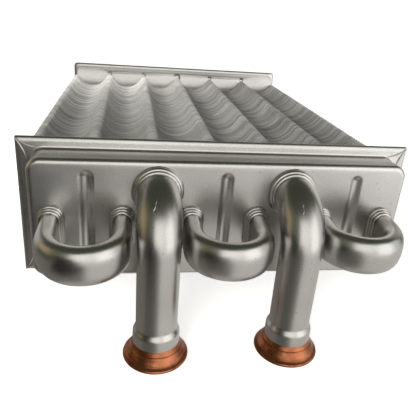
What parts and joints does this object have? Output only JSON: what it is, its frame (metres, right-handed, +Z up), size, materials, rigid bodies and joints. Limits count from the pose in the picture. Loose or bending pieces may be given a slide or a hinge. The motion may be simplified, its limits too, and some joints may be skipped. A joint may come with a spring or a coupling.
{
  "type": "bithermic heat exchanger",
  "caption": "Finned gas-to-water heat exchanger with tubes inside tubes, pressed water boxes, U-bends outside them and flared copper pipe ends.",
  "frame": {"origin": "under the middle of the pack, in the plane of the four pipe ends", "axes": "+X to the right seen from the end with the two heating pipes, +Y along the tubes to the back, +Z up"},
  "size_m": [0.181, 0.3368, 0.0874],
  "materials": {
    "silver_paint": "satin silver heat-resistant paint on pressed copper",
    "painted_fins": "thin silver paint on copper sheet",
    "tube_copper": "drawn copper tube, dull",
    "bare_copper": "bare turned copper, slightly tarnished"
  },
  "bodies": {
    "root": {"front_tube_plate": "silver_paint", "rear_tube_plate": "silver_paint", "front_cover": "silver_paint", "rear_cover": "silver_paint", "front_box_baffle": "silver_paint", "front_ferrule_1": "silver_paint", "front_ferrule_2": "silver_paint", "front_ferrule_3": "silver_paint", "front_ferrule_4": "silver_paint", "front_ferrule_5": "silver_paint", "front_ferrule_6": "silver_paint", "rear_ferrule_1": "silver_paint", "rear_ferrule_2": "silver_paint", "rear_ferrule_3": "silver_paint", "rear_ferrule_4": "silver_paint", "rear_ferrule_5": "silver_paint", "rear_ferrule_6": "silver_paint", "front_bend_1": "silver_paint", "front_bend_2": "silver_paint", "front_bend_3": "silver_paint", "rear_bend_1": "silver_paint", "rear_bend_2": "silver_paint", "flow_elbow": "silver_paint", "return_elbow": "silver_paint", "flow_collar": "silver_paint", "return_collar": "silver_paint", "inlet_pipe": "silver_paint", "outlet_pipe": "silver_paint", "fin_pack": "painted_fins", "outer_tube_1": "tube_copper", "outer_tube_2": "tube_copper", "outer_tube_3": "tube_copper", "outer_tube_4": "tube_copper", "outer_tube_5": "tube_copper", "outer_tube_6": "tube_copper", "inner_tube_1": "tube_copper", "inner_tube_2": "tube_copper", "inner_tube_3": "tube_copper", "inner_tube_4": "tube_copper", "inner_tube_5": "tube_copper", "inner_tube_6": "tube_copper", "flow_connector": "bare_copper", "return_connector": "bare_copper", "inlet_connector": "bare_copper", "outlet_connector": "bare_copper"}
  },
  "joints": []
}
